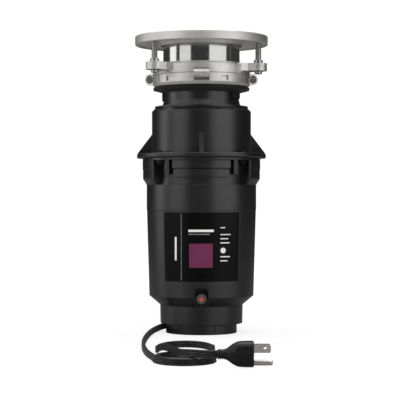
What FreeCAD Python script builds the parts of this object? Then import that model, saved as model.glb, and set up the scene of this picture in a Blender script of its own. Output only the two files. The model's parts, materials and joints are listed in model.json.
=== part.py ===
import FreeCAD, Part
import math
import os

# Kitchen garbage disposal with its three-bolt sink mount, standing on its base. Millimetres.
# The origin is the centre of the base's underside; +Z is up and the front, with the reset
# button, faces -Y. An azimuth is counted from the front towards +X (the right-hand side).

Vector = FreeCAD.Vector
ORIGIN = Vector(0, 0, 0)
UP = Vector(0, 0, 1)

# ---- heights, from the floor up ----
FOOT_TOP = 10.0
BASE_TOP = 29.4
CHAMFER_TOP = 38.9
SEAM = 128.1
BARREL_TOP = 154.4
PAD_LOW = 160.7
MOTOR_TOP = 179.5
FLANGE_LOW = 182.1
FLANGE_TOP = 187.0
CHAMBER_TOP = 231.0
COLLAR_LOW = 233.5
NECK_TOP = 250.6
TUBE_LOW = 262.0
LOCK_TOP = 268.2
EAR_LOW = 272.0
EAR_TOP = 279.9
BACKUP_LOW = 300.5
BACKUP_WEB = 302.3
BACKUP_TOP = 309.6

# ---- radii ----
FOOT_R = 37.1
BASE_R = 43.3
SHELL_LOW_R = 54.6
SHELL_TOP_R = 57.1
BARREL_R = 57.4
CORE_R = 52.5
PAD_R = 61.3
FLANGE_R = 67.6
CHAMBER_R = 51.9
CHAMBER_BORE_R = 49.4
NECK_R = 39.5
NECK_BORE_R = 36.6
SLEEVE_R = 40.1
SLEEVE_BORE_R = 38.9
BACKUP_R = 69.6
LOCK_R = 51.0
BOLT_CIRCLE_R = 62.6
SHELL_WALL = 2.4

# ---- the three-bolt mount ----
EAR_AZIMUTHS = {"left": -50, "right": 70, "rear": 190}
GRIP_AZIMUTHS = (0, 120, 240)
EAR_R = 9.0
SHEET = 1.7
SCREW_R = 3.175
SCREW_FIT = 0.07
SCREW_HEAD_R = 4.0
SCREW_HEAD_LOW = 268.7
SCREW_HEAD_TOP = 271.8
GRIP_HALF_WIDTH = 7.9
GRIP_ROLL_R = 6.0
GRIP_SHEET = 1.6

# ---- rotor ----
SHAFT_R = 5.0
SHAFT_FIT = 0.05
PLATE_LOW = 213.0
PLATE_TOP = 216.0
PLATE_R = 45.4
PIVOT_R = 27.0
ARMATURE_R = 32.6
ARMATURE_LOW = 72.0
ARMATURE_TOP = 134.0
CAN_R = 44.0
MAGNET_R = 41.0

# ---- drain outlet, at the back ----
OUTLET_BORE_R = 14.0
SPOUT_R = 18.5
OUTLET_Z = 199.5
OUTLET_END = 72.0
OUTLET_BOLT_X = 25.0
OUTLET_HOLE_R = 2.1

# ---- fasteners ----
FLANGE_SCREW_AZIMUTHS = (-47, 47, 133, 227)
FLANGE_SCREW_CIRCLE_R = 57.6
FLANGE_SCREW_R = 2.0
BASE_SCREW_AZIMUTHS = (60, 180, 300)
BASE_SCREW_CIRCLE_R = 29.0

# ---- reset button ----
BUTTON_Z = 37.8
BUTTON_R = 5.5
BUTTON_FACE_Y = -52.8
BEZEL_FACE_Y = -54.2
SHIELD_HALF_WIDTH = 7.3
SHIELD_TOP = 47.9

# ---- label ----
LABEL_LOW = 55.8
LABEL_TOP = 126.0
LABEL_HALF_ANGLE = 42
LABEL_THICKNESS = 0.45

# ---- power cord: three flat conductors side by side, lying on edge ----
CORD_D = 6.6
CORD_R = CORD_D / 2
GLAND_MOUTH = Vector(6, 42, 4.8)
RELIEF_LENGTH = 20.0

# The lead leaves the gland towards -X, turns forward round the left of the base and
# runs along the floor to the coil.
LEAD_ROUTE = [
    Vector(-14, 42, 4.8),
    Vector(-24.5, 42, 4.5),
    Vector(-34.8, 37, 4.0),
    Vector(-41.9, 27.9, 3.6),
    Vector(-45, 13.2, 3.4),
    Vector(-49.6, -14.4, 3.4),
    Vector(-53, -52, 3.4),
    Vector(-55, -101, 3.4),
    Vector(-55.2, -156, 3.4),
    Vector(-52.4, -206, 3.4),
    Vector(-47.6, -247, 3.4),
    Vector(-41, -279, 3.4),
]
# From the top of the coil the cord crosses the front turns and comes up to the plug.
TAIL_ROUTE = [
    Vector(-9, -308, 10.4),
    Vector(0.8, -318.3, 10.8),
    Vector(13, -322, 11),
]
COIL_FRONT = (-14.5, -284.5, 33.0, 36.0)
COIL_BACK = (-15.5, -208.0, 29.5, 54.0)
COIL_BAND = 13.0
COIL_FRONT_HEIGHT = 13.6
COIL_BACK_HEIGHT = 7.0

# ---- plug: two flat blades and a round earth pin, pointing +X ----
PLUG_X = 13.0
PLUG_Y = -322.0
PLUG_NECK_LENGTH = 6.0
PLUG_BODY_LENGTH = 24.0
BLADE_Z = 15.9
PIN_Z = 4.0
BLADE_PITCH = 12.7
BLADE_HEIGHT = 6.35
BLADE_THICKNESS = 1.5
BLADE_LENGTH = 14.0
PIN_R = 2.4
PIN_LENGTH = 16.0


def lathe(outline, half_angle=180, azimuth=0):
    """Turn closed (radius, height) corners about the object's axis, fully or over a sector."""
    corners = [Vector(0, -radius, height) for radius, height in outline]
    face = Part.Face(Part.makePolygon(corners + corners[:1]))
    if half_angle < 180:
        face.rotate(ORIGIN, UP, azimuth - half_angle)
    return face.revolve(ORIGIN, UP, 2 * half_angle)


def ring(outer, inner, low, high, half_angle=180, azimuth=0):
    corners = [(inner, low), (outer, low), (outer, high), (inner, high)]
    return lathe(corners, half_angle, azimuth)


def rod(radius, low, high, x=0, y=0):
    return Part.makeCylinder(radius, high - low, Vector(x, y, low))


def block(x, y, z):
    """Box from its (low, high) pairs on the three axes."""
    return Part.makeBox(x[1] - x[0], y[1] - y[0], z[1] - z[0], Vector(x[0], y[0], z[0]))


def bar(radius, start, end):
    """Round bar between two points."""
    return Part.makeCylinder(radius, (end - start).Length, start, end - start)


def turned(shape, azimuth):
    """A copy of a shape drawn at the front, carried round to an azimuth."""
    copy = shape.copy()
    copy.rotate(ORIGIN, UP, azimuth)
    return copy


def around(shape, azimuths):
    return [turned(shape, azimuth) for azimuth in azimuths]


def fuse(shapes):
    return shapes[0].multiFuse(shapes[1:]).removeSplitter()


def side_outline(radius, height, y, top, crown):
    """Shield outline in a plane of constant y: round at the bottom, crowned at the top."""
    left_low = Vector(-radius, y, height)
    right_low = Vector(radius, y, height)
    left_top = Vector(-radius, y, top)
    right_top = Vector(radius, y, top)
    edges = [
        Part.Arc(left_low, Vector(0, y, height - radius), right_low).toShape(),
        Part.LineSegment(right_low, right_top).toShape(),
        Part.Arc(right_top, Vector(0, y, top + crown), left_top).toShape(),
        Part.LineSegment(left_top, left_low).toShape(),
    ]
    return Part.Wire(edges)


def round_edges(shape, radius, places):
    """Fillet the full circles that lie at the given (radius, height) places."""
    chosen = []
    for edge in shape.Edges:
        curve = edge.Curve
        if not isinstance(curve, Part.Circle) or abs(curve.Center.x) + abs(curve.Center.y) > 0.01:
            continue
        for place_r, place_z in places:
            if abs(curve.Radius - place_r) < 0.01 and abs(curve.Center.z - place_z) < 0.01:
                chosen.append(edge)
    return shape.makeFillet(radius, chosen)


def save(name, shapes):
    shape = Part.makeCompound(shapes) if isinstance(shapes, list) else shapes
    if not shape.isValid():
        print("INVALID", name)
    shape.exportStep("parts/" + name + ".step")


# ---------------------------------------------------------------- sink mount

def sink_flange():
    return lathe([
        (SLEEVE_BORE_R, TUBE_LOW), (SLEEVE_R, TUBE_LOW), (SLEEVE_R, 304.4), (41.6, 306.4),
        (57.2, 306.4), (57.2, 308.0), (44.0, 308.0), (40.5, 306.5), (SLEEVE_BORE_R, 303.5),
    ])


def backup_ring():
    dish = lathe([
        (42.0, 299.5), (44.0, 299.5), (44.0, 303.2), (56.0, 303.2), (56.9, BACKUP_WEB),
        (67.1, BACKUP_WEB), (67.1, BACKUP_LOW), (BACKUP_R, BACKUP_LOW), (BACKUP_R, BACKUP_TOP),
        (67.1, BACKUP_TOP), (67.1, 304.4), (42.0, 304.4),
    ])
    return round_edges(dish, 0.9, [(BACKUP_R, BACKUP_LOW), (BACKUP_R, BACKUP_TOP)])


def ear_shape(inset, low, high):
    """Lobe of the upper ring, reaching from its band out to a screw, at the front."""
    root = 24.0 - inset
    tip = EAR_R - inset
    root_y = -42.7
    shoulder_y = -54.5
    left = Part.Arc(
        Vector(-root, root_y, low), Vector(-14.5 + inset, -48.4, low),
        Vector(-tip, shoulder_y, low)).toShape()
    right = Part.Arc(
        Vector(tip, shoulder_y, low), Vector(14.5 - inset, -48.4, low),
        Vector(root, root_y, low)).toShape()
    sides = Part.makePolygon([
        Vector(-tip, shoulder_y, low), Vector(-tip, -BOLT_CIRCLE_R, low),
        Vector(tip, -BOLT_CIRCLE_R, low), Vector(tip, shoulder_y, low),
    ])
    closing = Part.makeLine(Vector(root, root_y, low), Vector(-root, root_y, low))
    outline = Part.Wire([left] + sides.Edges + [right, closing])
    arm = Part.Face(outline).extrude(Vector(0, 0, high - low))
    return arm.fuse(rod(tip, low, high, 0, -BOLT_CIRCLE_R)).removeSplitter()


def upper_mounting_ring():
    """Pressed band that plugs into the lower ring and steps out above the lower ring's edge."""
    socket_r = 49.2
    band_r = 50.9
    step_z = LOCK_TOP + 0.8
    # The band's web carries a low collar with a thin lip round the sleeve.
    band = lathe([
        (socket_r - SHEET, 260.6), (socket_r, 260.6), (socket_r, step_z), (band_r, step_z),
        (band_r, 278.4), (44.8, 278.4), (44.8, 279.9), (45.6, 279.9), (45.6, 281.0),
        (41.3, 281.0), (41.3, 276.8), (band_r - SHEET, 276.8), (band_r - SHEET, step_z + SHEET),
        (socket_r - SHEET, step_z + SHEET),
    ])
    outer = ear_shape(0, EAR_LOW, EAR_TOP)
    hollow = ear_shape(SHEET, EAR_LOW - 1, EAR_TOP - SHEET)
    # The hollow under an ear stops at the band, and the ear's plate doesn't cover the throat.
    hollow = hollow.cut(rod(band_r - 0.2, EAR_LOW - 2, EAR_TOP))
    ear = outer.cut(rod(band_r - SHEET + 0.1, EAR_LOW - 1, EAR_TOP + 1)).cut(hollow)
    ear = ear.cut(rod(4.2, EAR_LOW - 1, EAR_TOP + 1, 0, -BOLT_CIRCLE_R))
    return fuse([band] + around(ear, EAR_AZIMUTHS.values()))


def clinch_nut():
    bore = SCREW_R + SCREW_FIT
    nut = rod(4.2, EAR_TOP - SHEET, EAR_TOP, 0, -BOLT_CIRCLE_R)
    nut = nut.fuse(rod(4.7, EAR_TOP, EAR_TOP + 3.4, 0, -BOLT_CIRCLE_R))
    return nut.removeSplitter().cut(rod(bore, EAR_TOP - 3, EAR_TOP + 5, 0, -BOLT_CIRCLE_R))


def mounting_screw():
    """Screw whose slotted head is below the ear and whose tip bears on the backup ring."""
    tip = BACKUP_WEB - 0.1
    shank = rod(SCREW_R, SCREW_HEAD_TOP, tip, 0, -BOLT_CIRCLE_R)
    head = rod(SCREW_HEAD_R, SCREW_HEAD_LOW, SCREW_HEAD_TOP, 0, -BOLT_CIRCLE_R)
    rim = [edge for edge in head.Edges if edge.BoundBox.ZMax < SCREW_HEAD_LOW + 0.1]
    head = head.makeFillet(0.7, rim)
    slot = block((-5, 5), (-BOLT_CIRCLE_R - 0.6, -BOLT_CIRCLE_R + 0.6), (268, 270))
    return shank.fuse(head.cut(slot)).removeSplitter()


def grip():
    """Rolled end of the lower ring, which a wrench or screwdriver turns, at the front."""
    centre = Vector(0, -59.0, 266.9)
    left = Vector(-GRIP_HALF_WIDTH, 0, 0)
    along = Vector(2 * GRIP_HALF_WIDTH, 0, 0)
    roll = Part.makeCylinder(GRIP_ROLL_R, along.x, centre + left, along)
    roll = roll.cut(Part.makeCylinder(GRIP_ROLL_R - GRIP_SHEET, along.x, centre + left, along))
    # The roll is open on its inner side, above the sheet that feeds it.
    opening = block((-10, 10), (centre.y + 2.2, centre.y + 7), (centre.z - 3.2, centre.z + 2.6))
    low = centre.z - GRIP_ROLL_R
    corners = [
        Vector(-GRIP_HALF_WIDTH, centre.y, low), Vector(-GRIP_HALF_WIDTH, -50.2, 260.2),
        Vector(-GRIP_HALF_WIDTH, -50.2, 261.8),
        Vector(-GRIP_HALF_WIDTH, centre.y, low + GRIP_SHEET),
    ]
    sheet = Part.Face(Part.makePolygon(corners + corners[:1])).extrude(along)
    return roll.cut(opening).fuse(sheet).removeSplitter()


def lower_mounting_ring():
    band = lathe([
        (42.9, 256.6), (49.3, 256.6), (LOCK_R, 259.8), (LOCK_R, LOCK_TOP), (49.6, LOCK_TOP),
        (49.6, 260.2), (48.5, 258.1), (42.9, 258.1),
    ])
    window = block((-4.1, 4.1), (-53, -49.5), (260.8, 265.8))
    slit = block((-0.9, 0.9), (-53, -49.0), (260.4, 270))
    cuts = around(window, (-41, 28, 79, 148, 199, 268)) + around(slit, (60, 180, 300))
    return fuse([band.cut(Part.makeCompound(cuts))] + around(grip(), GRIP_AZIMUTHS))


def mounting_gasket():
    bore = 36.8
    return lathe([
        (bore, NECK_TOP), (NECK_R, NECK_TOP), (50.3, 253.3), (50.5, 255.7), (42.3, 255.9),
        (42.3, TUBE_LOW), (bore, TUBE_LOW),
    ])


def splash_guard():
    """Rubber ring across the throat, slit into flaps round an open centre."""
    disc = ring(36.7, 13.0, 257.0, 259.4)
    slit = block((-28, 28), (-0.5, 0.5), (256, 260))
    return disc.cut(fuse(around(slit, range(0, 180, 45))))


# ---------------------------------------------------------------- grinding section

def gusset():
    """Triangular stiffener between the chamber's wall and the flange, at the front."""
    half = 2.0
    corners = [
        Vector(-half, -51.0, FLANGE_TOP), Vector(-half, -66.6, FLANGE_TOP),
        Vector(-half, -66.6, FLANGE_TOP + 0.8), Vector(-half, -51.0, 208.4),
    ]
    return Part.Face(Part.makePolygon(corners + corners[:1])).extrude(Vector(2 * half, 0, 0))


def drain_spout():
    """Outlet pipe let into the chamber's wall, with two bolt lobes at its face."""
    along = Vector(0, 1, 0)
    barrel = Part.makeCylinder(SPOUT_R, OUTLET_END - 40, Vector(0, 40, OUTLET_Z), along)
    lobes = [
        Part.makeCylinder(5.5, 10, Vector(x, OUTLET_END - 10, OUTLET_Z), along)
        for x in (-OUTLET_BOLT_X, OUTLET_BOLT_X)
    ]
    bridge = block(
        (-OUTLET_BOLT_X, OUTLET_BOLT_X), (OUTLET_END - 10, OUTLET_END),
        (OUTLET_Z - 5.5, OUTLET_Z + 5.5),
    )
    boss = fuse([barrel, bridge] + lobes)
    below_flange = block((-40, 40), (30, 80), (170, FLANGE_TOP))
    boss = boss.cut(below_flange).cut(rod(CHAMBER_BORE_R, 170, 230))
    holes = [Part.makeCylinder(OUTLET_BORE_R, 60, Vector(0, 30, OUTLET_Z), along)]
    for x in (-OUTLET_BOLT_X, OUTLET_BOLT_X):
        start = Vector(x, OUTLET_END - 9, OUTLET_Z)
        holes.append(Part.makeCylinder(OUTLET_HOLE_R, 20, start, along))
    return boss.cut(Part.makeCompound(holes))


def grind_housing():
    shell = lathe([
        (CHAMBER_BORE_R, FLANGE_LOW), (FLANGE_R, FLANGE_LOW), (FLANGE_R, FLANGE_TOP),
        (CHAMBER_R, FLANGE_TOP), (CHAMBER_R, CHAMBER_TOP), (49.4, COLLAR_LOW),
        (43.0, COLLAR_LOW), (43.0, 231.4), (46.0, 231.4), (CHAMBER_BORE_R, 228.4),
    ])
    shell = round_edges(shell, 1.2, [(FLANGE_R, FLANGE_LOW), (FLANGE_R, FLANGE_TOP)])
    body = fuse([shell] + around(gusset(), (0, 90, 270)))
    # The hole for the drain spout stays above the flange.
    along = Vector(0, 1, 0)
    spout_hole = Part.makeCylinder(SPOUT_R, 40, Vector(0, 30, OUTLET_Z), along)
    spout_hole = spout_hole.cut(block((-40, 40), (20, 80), (170, FLANGE_TOP)))
    bore = Part.makeCylinder(OUTLET_BORE_R, 50, Vector(0, 30, OUTLET_Z), along)
    hole = rod(FLANGE_SCREW_R + 0.2, 170, 190, 0, -FLANGE_SCREW_CIRCLE_R)
    cuts = [spout_hole, bore] + around(hole, FLANGE_SCREW_AZIMUTHS)
    return body.cut(Part.makeCompound(cuts))


def throat_collar():
    """Neck on top of the chamber, with a thin lip, a stop block and a fin."""
    neck = lathe([
        (NECK_BORE_R, COLLAR_LOW), (47.6, COLLAR_LOW), (47.6, COLLAR_LOW + 0.8),
        (48.8, COLLAR_LOW + 0.8), (48.8, 236.2), (41.2, 236.2), (NECK_R, 242.5),
        (NECK_R, NECK_TOP), (NECK_BORE_R, NECK_TOP),
    ])
    stop = ring(43.6, 38.5, 243.6, NECK_TOP, 8.5, 58)
    fin = turned(block((-1.0, 1.0), (-41.6, -38.5), (241.6, NECK_TOP)), -80)
    return fuse([neck, stop, fin])


def shredder_ring():
    """Fixed grind ring: a band with cutting windows round its lower half."""
    band = ring(CHAMBER_BORE_R, 45.9, 214.2, 227.6)
    window = block((-1.8, 1.8), (-48.2, -44), (217.5, 223.5))
    return band.cut(Part.makeCompound(around(window, range(0, 360, 20))))


def turntable():
    plate = lathe([
        (SHAFT_R, 190.0), (12.0, 190.0), (12.0, PLATE_LOW), (PLATE_R - 2, PLATE_LOW),
        (PLATE_R - 2, PLATE_LOW - 4), (PLATE_R, PLATE_LOW - 4), (PLATE_R, PLATE_TOP),
        (SHAFT_R, PLATE_TOP),
    ])
    drain = rod(2.6, PLATE_LOW - 1, PLATE_TOP + 1, 0, -37.0)
    drains = around(drain, [angle for angle in range(15, 375, 30)])
    rivet = rod(3.0, PLATE_LOW - 1, PLATE_TOP + 1, 0, -PIVOT_R)
    return plate.cut(Part.makeCompound(drains + around(rivet, (-90, 90))))


def impeller_rivet():
    low = PLATE_LOW - 1.6
    rivet = rod(3.0, PLATE_LOW, PLATE_TOP + 7.4, 0, -PIVOT_R)
    foot = rod(4.6, low, PLATE_LOW, 0, -PIVOT_R)
    head = rod(4.6, PLATE_TOP + 7.4, PLATE_TOP + 9.0, 0, -PIVOT_R)
    return fuse([rivet, foot, head])


def impeller():
    """Swivelling lug: a round eye with a heavy hooked arm, at the front."""
    low = PLATE_TOP + 0.3
    high = PLATE_TOP + 7.1
    eye = rod(7.0, low, high, 0, -PIVOT_R)
    reach = 15.0
    corners = [
        Vector(-3.0, -PIVOT_R - 6.0, low), Vector(-reach + 1.5, -PIVOT_R - 4.6, low),
        Vector(-reach, -PIVOT_R, low), Vector(-reach + 1.5, -PIVOT_R + 4.6, low),
        Vector(-3.0, -PIVOT_R + 6.0, low),
    ]
    arm = Part.Face(Part.makePolygon(corners + corners[:1])).extrude(Vector(0, 0, high - low))
    lug = eye.fuse(arm).removeSplitter()
    return lug.cut(rod(3.08, low - 1, high + 1, 0, -PIVOT_R))


def turntable_nut():
    hexagon = Part.makePolygon([
        Vector(6.8 * math.cos(math.radians(a)), 6.8 * math.sin(math.radians(a)), PLATE_TOP)
        for a in range(0, 420, 60)
    ])
    return Part.Face(hexagon).extrude(Vector(0, 0, 5.5)).cut(rod(SHAFT_R, 200, 230))


def chamber_floor():
    """Cast floor of the chamber, with the upper bearing and the shaft seal in its hub."""
    return lathe([
        (6.5, 170.0), (11.0, 170.0), (11.0, 160.0), (14.0, 160.0), (14.0, 178.0),
        (49.9, 178.0), (49.9, FLANGE_LOW), (49.1, FLANGE_LOW), (49.1, 184.5), (10.0, 184.5),
        (10.0, 176.0), (6.5, 176.0),
    ])


def flange_screw():
    head = rod(3.5, FLANGE_TOP, FLANGE_TOP + 2.4, 0, -FLANGE_SCREW_CIRCLE_R)
    top = [edge for edge in head.Edges if edge.BoundBox.ZMin > FLANGE_TOP + 1]
    head = head.makeFillet(1.5, top)
    shank = rod(FLANGE_SCREW_R, 174.5, FLANGE_TOP, 0, -FLANGE_SCREW_CIRCLE_R)
    return head.fuse(shank).removeSplitter()


def flange_nut():
    centre_y = -FLANGE_SCREW_CIRCLE_R
    corners = [
        Vector(4.0 * math.cos(math.radians(a)), centre_y + 4.0 * math.sin(math.radians(a)), 176.2)
        for a in range(0, 420, 60)
    ]
    nut = Part.Face(Part.makePolygon(corners)).extrude(Vector(0, 0, MOTOR_TOP - 176.2))
    return nut.cut(rod(FLANGE_SCREW_R, 170, 190, 0, centre_y))


# ---------------------------------------------------------------- motor

def motor_shaft():
    return rod(SHAFT_R, 46.0, PLATE_TOP + 8.0)


def armature_core():
    core = ring(ARMATURE_R, SHAFT_R, ARMATURE_LOW, ARMATURE_TOP)
    slot = block((-1.7, 1.7), (-ARMATURE_R - 2, -ARMATURE_R + 9), (70, 140))
    return core.cut(Part.makeCompound(around(slot, range(0, 360, 30))))


def armature_winding():
    """End turns above and below the core, joined through its slots."""
    turns = [
        ring(30.0, 12.0, ARMATURE_LOW - 6.5, ARMATURE_LOW),
        ring(30.0, 12.0, ARMATURE_TOP, ARMATURE_TOP + 7.0),
    ]
    bundle = block((-1.4, 1.4), (-ARMATURE_R + 1, -ARMATURE_R + 8.5), (71, 135))
    return fuse(turns + around(bundle, range(0, 360, 30)))


def commutator():
    drum = ring(14.0, SHAFT_R, 56.5, 65.0)
    groove = block((-0.3, 0.3), (-16, -12.8), (55, 66))
    return drum.cut(Part.makeCompound(around(groove, range(0, 360, 30))))


def motor_can():
    return lathe([
        (MAGNET_R, 50.0), (CAN_R, 50.0), (CAN_R, 158.0), (14.0, 158.0), (14.0, 155.5),
        (MAGNET_R, 155.5),
    ])


def lower_end_bell():
    bell = lathe([
        (0, 42.5), (12.0, 42.5), (12.0, 46.4), (CAN_R, 46.4), (CAN_R, 50.0), (12.0, 50.0),
        (12.0, 55.0), (9.0, 55.0), (9.0, 45.5), (0, 45.5),
    ])
    hole = rod(FLANGE_SCREW_R, 40, 52, 0, -BASE_SCREW_CIRCLE_R)
    # The plate is notched where the reset button's well passes in front of it.
    notch = block((-8.5, 8.5), (-46, -41.2), (46, 51))
    return bell.cut(Part.makeCompound(around(hole, BASE_SCREW_AZIMUTHS) + [notch]))


def brush_holder():
    holder = block((-5.5, 5.5), (-36, -17), (50, 65))
    return holder.cut(block((-3.2, 3.2), (-34, -10), (57, 63)))


def brush():
    return block((-3, 3), (-26, -14.3), (57.2, 62.8))


def brush_spring():
    spring = bar(2.4, Vector(0, -26, 60), Vector(0, -34, 60))
    return spring.cut(bar(1.6, Vector(0, -26, 60), Vector(0, -34, 60)))


def rectifier_board():
    board = block((-17, 17), (-10, 20), (15, 16.6))
    legs = [rod(2.0, 3, 15, x, y) for x in (-14, 14) for y in (-7, 17)]
    bridge = block((-8, 8), (2, 8), (16.6, 26))
    capacitors = [rod(4.5, 16.6, 27, x, 14) for x in (-9, 9)]
    return fuse([board, bridge] + legs + capacitors)


# ---------------------------------------------------------------- reset button

def reset_bezel():
    """Shield-shaped well, round the button, let into the shell's nose."""
    cover = Part.Face(side_outline(SHIELD_HALF_WIDTH, BUTTON_Z, BEZEL_FACE_Y, SHIELD_TOP, 1.6))
    well = side_outline(SHIELD_HALF_WIDTH - 1.1, BUTTON_Z, BEZEL_FACE_Y - 1, SHIELD_TOP - 0.8, 1.3)
    body = cover.extrude(Vector(0, 12.2, 0)).cut(Part.Face(well).extrude(Vector(0, 10.7, 0)))
    stem = Vector(0, -60, BUTTON_Z)
    return body.cut(bar(2.6, stem, stem + Vector(0, 30, 0)))


def reset_nose():
    """Raised surround that carries the bezel across the shell's chamfer, above its seam."""
    front = side_outline(BUTTON_Z - BASE_TOP, BUTTON_Z, -52.6, SHIELD_TOP + 0.4, 2.2)
    back = side_outline(11.5, BASE_TOP + 11.6, -42.4, SHIELD_TOP + 3.4, 3.0)
    return Part.makeLoft([front, back], True, True)


def bezel_pocket():
    outline = side_outline(SHIELD_HALF_WIDTH, BUTTON_Z, BEZEL_FACE_Y - 8, SHIELD_TOP, 1.6)
    return Part.Face(outline).extrude(Vector(0, 22, 0))


def reset_button():
    start = Vector(0, BUTTON_FACE_Y, BUTTON_Z)
    cap = bar(BUTTON_R, start, start + Vector(0, 5.6, 0))
    front = [edge for edge in cap.Edges if edge.BoundBox.YMax < BUTTON_FACE_Y + 1]
    cap = cap.makeFillet(0.8, front)
    stem = bar(2.2, start + Vector(0, 5.6, 0), start + Vector(0, 14.6, 0))
    return cap.fuse(stem).removeSplitter().cut(reset_diamond())


def reset_diamond():
    """Coloured diamond let into the face of the button."""
    half = 3.0
    corners = [
        Vector(0, BUTTON_FACE_Y, BUTTON_Z - half), Vector(half, BUTTON_FACE_Y, BUTTON_Z),
        Vector(0, BUTTON_FACE_Y, BUTTON_Z + half), Vector(-half, BUTTON_FACE_Y, BUTTON_Z),
    ]
    return Part.Face(Part.makePolygon(corners + corners[:1])).extrude(Vector(0, 0.9, 0))


def overload_switch():
    body = block((-6.5, 6.5), (-39.8, -24), (28, 45.4))
    snout = block((-6.5, 6.5), (-42.0, -39.8), (33.5, 43.5))
    stem = Vector(0, -50, BUTTON_Z)
    return body.fuse(snout).removeSplitter().cut(bar(2.6, stem, stem + Vector(0, 16, 0)))


# ---------------------------------------------------------------- casings

def shell_radius(height):
    """Outer radius of the lower shell, which tapers evenly above its chamfer."""
    share = (height - CHAMFER_TOP) / (SEAM - CHAMFER_TOP)
    return SHELL_LOW_R + share * (SHELL_TOP_R - SHELL_LOW_R)


def lower_shell():
    shell = lathe([
        (40.9, BASE_TOP), (BASE_R, BASE_TOP), (SHELL_LOW_R, CHAMFER_TOP), (SHELL_TOP_R, SEAM),
        (SHELL_TOP_R - SHELL_WALL, SEAM), (SHELL_LOW_R - SHELL_WALL, 40.0), (40.9, 30.6),
    ])
    inside = lathe([
        (0, 20), (40.9, 20), (40.9, 30.6), (SHELL_LOW_R - SHELL_WALL, 40.0),
        (shell_radius(60) - SHELL_WALL, 60), (0, 60),
    ])
    return fuse([shell, reset_nose().cut(inside)]).cut(bezel_pocket())


def motor_housing():
    drum = lathe([
        (BARREL_R - 2.5, SEAM), (BARREL_R, SEAM), (BARREL_R, BARREL_TOP), (CORE_R, BARREL_TOP),
        (CORE_R, MOTOR_TOP), (61.5, MOTOR_TOP), (61.5, FLANGE_LOW), (50.1, FLANGE_LOW),
        (50.1, 151.9), (BARREL_R - 2.5, 151.9),
    ])
    pad = [
        (CORE_R - 1, BARREL_TOP - 0.5), (BARREL_R, BARREL_TOP - 0.5), (BARREL_R, BARREL_TOP),
        (PAD_R, PAD_LOW), (PAD_R, 170.5), (PAD_R + 0.4, 170.5), (PAD_R + 0.4, MOTOR_TOP + 0.5),
        (CORE_R - 1, MOTOR_TOP + 0.5),
    ]
    pieces = [drum]
    for side in (90, 270):
        pieces.append(lathe(pad, 35.6, side))
    for face in (0, 180):
        pieces.append(ring(57.2, CORE_R - 1, 171.0, MOTOR_TOP + 0.5, 31.5, face))
        pieces.append(ring(56.8, CORE_R - 1, 162.0, 169.8, 30.2, face))
        for pilaster in (-37.6, 37.6):
            pieces.append(ring(58.2, CORE_R - 1, 165.0, MOTOR_TOP + 0.5, 2.9, face + pilaster))
        for corner in (-54.4, 54.4):
            bead = rod(1.5, PAD_LOW, MOTOR_TOP + 0.5, 0, -PAD_R + 0.6)
            pieces.append(turned(bead, face + corner))
    hole = rod(FLANGE_SCREW_R + 0.2, 170, 190, 0, -FLANGE_SCREW_CIRCLE_R)
    return fuse(pieces).cut(Part.makeCompound(around(hole, FLANGE_SCREW_AZIMUTHS)))


def label_plate():
    low_r = shell_radius(LABEL_LOW)
    top_r = shell_radius(LABEL_TOP)
    return lathe([
        (low_r, LABEL_LOW), (low_r + LABEL_THICKNESS, LABEL_LOW),
        (top_r + LABEL_THICKNESS, LABEL_TOP), (top_r, LABEL_TOP),
    ], LABEL_HALF_ANGLE)


def base_cap():
    """Bottom cover: a ring on a narrower round foot, closed underneath."""
    cup = lathe([
        (0, 0), (FOOT_R, 0), (FOOT_R, FOOT_TOP), (BASE_R - 0.4, FOOT_TOP), (BASE_R, BASE_TOP),
        (40.9, BASE_TOP), (40.5, 12.5), (34.6, 12.5), (34.6, 3.0), (0, 3.0),
    ])
    cup = round_edges(cup, 0.6, [(BASE_R - 0.4, FOOT_TOP)])
    groove = block((-0.5, 0.5), (-FOOT_R - 1, -FOOT_R + 0.6), (-1, FOOT_TOP - 0.4))
    screw_y = -BASE_SCREW_CIRCLE_R
    recess = rod(4.4, -1, 1.6, 0, screw_y).fuse(rod(FLANGE_SCREW_R + 0.2, 0, 5, 0, screw_y))
    cuts = around(groove, (-22, 22, 68, 112, 158, 202, 248, 292))
    cuts += around(recess, BASE_SCREW_AZIMUTHS)
    return cup.cut(Part.makeCompound(cuts))


def base_screw():
    """Long screw from the bottom cover up into the motor's lower end bell."""
    head = rod(4.0, 0.4, 1.6, 0, -BASE_SCREW_CIRCLE_R)
    shank = rod(FLANGE_SCREW_R, 1.6, 50.0, 0, -BASE_SCREW_CIRCLE_R)
    return head.fuse(shank).removeSplitter()


# ---------------------------------------------------------------- power cord

def cord_gland():
    """Outlet block on the back of the foot, which turns the cord to the left."""
    y = GLAND_MOUTH.y
    body = block((GLAND_MOUTH.x, GLAND_MOUTH.x + 12), (30, y + 5), (0.4, 9.6))
    return body.cut(rod(FOOT_R, -1, 12))


def cord_strain_relief():
    toward = Vector(-1, 0, 0)
    return Part.makeCone(4.4, 3.6, RELIEF_LENGTH, GLAND_MOUTH, toward)


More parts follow.
